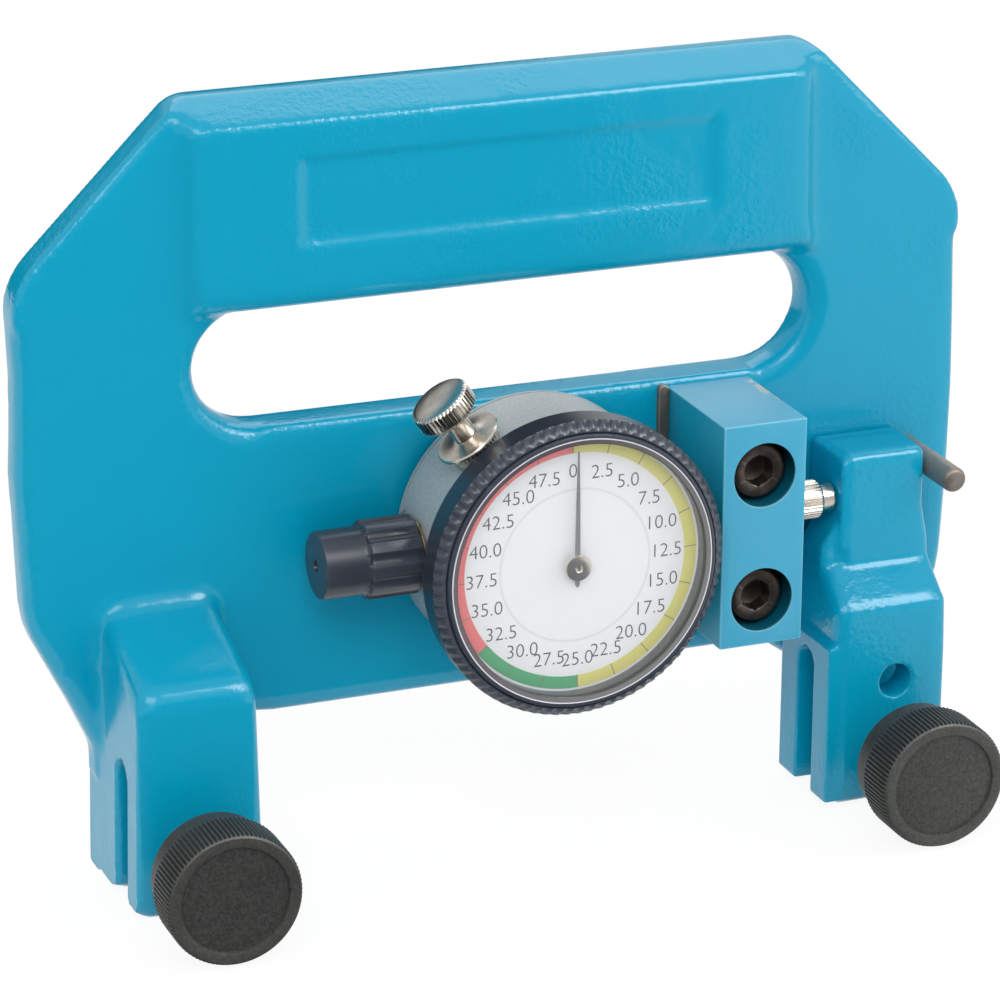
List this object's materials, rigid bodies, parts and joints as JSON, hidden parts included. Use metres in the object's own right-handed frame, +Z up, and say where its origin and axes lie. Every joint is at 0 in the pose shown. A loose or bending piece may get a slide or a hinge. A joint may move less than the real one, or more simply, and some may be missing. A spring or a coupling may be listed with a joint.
{
  "type": "band saw tension meter",
  "caption": "Cast hand-held frame with a fixed foot and a pivoted arm that clamp on a saw blade; the arm pushes a dial indicator that shows blade tension.",
  "frame": {"origin": "on the flat back face of the frame casting, midway between the axes of the two blade clamp screws and level with the axis of the indicator's stem", "axes": "+X along the blade from the fixed foot to the arm, +Y out of the flat back, away from the dial's viewer, +Z up from the blade to the handle"},
  "size_m": [0.1862, 0.0538, 0.146],
  "materials": {
    "cast_paint": "glossy blue paint on a sand casting",
    "block_paint": "satin blue paint on machined faces",
    "dark_steel": "dark oiled steel",
    "black_oxide": "black oxide steel",
    "knob_black": "satin black, knurled rim",
    "nickel": "satin nickel plate",
    "bright_steel": "turned and ground steel",
    "brass": "turned brass",
    "case_grey": "satin blue grey",
    "navy": "semi-gloss dark navy",
    "dial_white": "white dial with coloured arcs",
    "needle_grey": "grey painted needle",
    "clear_lens": "clear acrylic"
  },
  "bodies": {
    "frame": {"frame_casting": "cast_paint", "clamp_block": "block_paint", "locating_key": "dark_steel", "clamp_block_screw_lower": "black_oxide", "clamp_block_screw_upper": "black_oxide", "stop_pin": "dark_steel", "pivot_bush": "brass", "indicator_case": "case_grey", "case_back_cover": "case_grey", "back_cover_screw_1": "bright_steel", "back_cover_screw_2": "bright_steel", "back_cover_screw_3": "bright_steel", "back_cover_screw_4": "bright_steel", "indicator_stem": "bright_steel", "spindle_cap_collar": "brass", "spindle_cap": "navy", "return_spring": "bright_steel", "movement_plate": "brass", "bezel_clamp_washer": "nickel"},
    "arm": {"rocker_arm": "cast_paint", "pivot_pin": "bright_steel", "pivot_retaining_ring": "bright_steel"},
    "plunger": {"plunger": "bright_steel", "contact_point": "nickel"},
    "first_arbor": {"rack_arbor_gear": "brass"},
    "second_arbor": {"second_arbor_gear": "brass"},
    "needle": {"centre_arbor": "brass", "needle": "needle_grey", "needle_hub_cap": "nickel"},
    "bezel": {"bezel": "navy", "lens": "clear_lens", "dial_face": "dial_white"},
    "bezel_clamp": {"bezel_clamp_screw": "nickel"},
    "left_stud": {"left_stud": "black_oxide"},
    "left_knob": {"left_knob": "knob_black"},
    "right_stud": {"right_stud": "black_oxide"},
    "right_knob": {"right_knob": "knob_black"}
  },
  "joints": [
    {"name": "arm_rock", "type": "hinge", "parent": "frame", "child": "arm", "pos_m": [0.0693, -0.0088, -0.0242], "axis": [0, -1, 0], "range_deg": [0, 1.2], "stiffness_Nm_per_rad": 0.3, "springref_deg": -5.73},
    {"name": "plunger_slide", "type": "slide", "parent": "frame", "child": "plunger", "axis": [-1, 0, 0], "range_m": [0, 0.00052]},
    {"name": "first_arbor_turn", "type": "hinge", "parent": "frame", "child": "first_arbor", "pos_m": [0.0117, -0.0225, 0.00419], "axis": [0, 1, 0], "range_deg": [0, 14.7]},
    {"name": "second_arbor_turn", "type": "hinge", "parent": "frame", "child": "second_arbor", "pos_m": [0.00353, -0.0225, 0.01007], "axis": [0, -1, 0], "range_deg": [0, 102.5]},
    {"name": "needle_turn", "type": "hinge", "parent": "frame", "child": "needle", "pos_m": [0.0022, -0.0225, 0], "axis": [0, 1, 0], "range_deg": [0, 722]},
    {"name": "bezel_turn", "type": "hinge", "parent": "frame", "child": "bezel", "pos_m": [0.0022, -0.035, 0], "axis": [0, 1, 0], "continuous": true},
    {"name": "bezel_clamp_turn", "type": "hinge", "parent": "frame", "child": "bezel_clamp", "pos_m": [0.0022, -0.0252, 0], "axis": [-0.5906, 0, 0.807], "range_deg": [0, 180]},
    {"name": "left_stud_slide", "type": "slide", "parent": "frame", "child": "left_stud", "axis": [0, 1, 0], "range_m": [0, 0.00701]},
    {"name": "left_knob_turn", "type": "hinge", "parent": "left_stud", "child": "left_knob", "pos_m": [-0.0693, -0.045, -0.0464], "axis": [0, 1, 0], "range_deg": [0, 2520]},
    {"name": "right_stud_slide", "type": "slide", "parent": "arm", "child": "right_stud", "axis": [0, 1, 0], "range_m": [0, 0.00701]},
    {"name": "right_knob_turn", "type": "hinge", "parent": "right_stud", "child": "right_knob", "pos_m": [0.0693, -0.045, -0.0464], "axis": [0, 1, 0], "range_deg": [0, 2520]}
  ],
  "couplings": [
    {"joint": "plunger_slide", "follows": "arm_rock", "m_per_rad": 0.0242},
    {"joint": "first_arbor_turn", "follows": "arm_rock", "ratio": 12.101},
    {"joint": "second_arbor_turn", "follows": "arm_rock", "ratio": 84.709},
    {"joint": "needle_turn", "follows": "arm_rock", "ratio": 600.02},
    {"joint": "left_stud_slide", "follows": "left_knob_turn", "m_per_rad": 0.00015915},
    {"joint": "right_stud_slide", "follows": "right_knob_turn", "m_per_rad": 0.00015915}
  ]
}
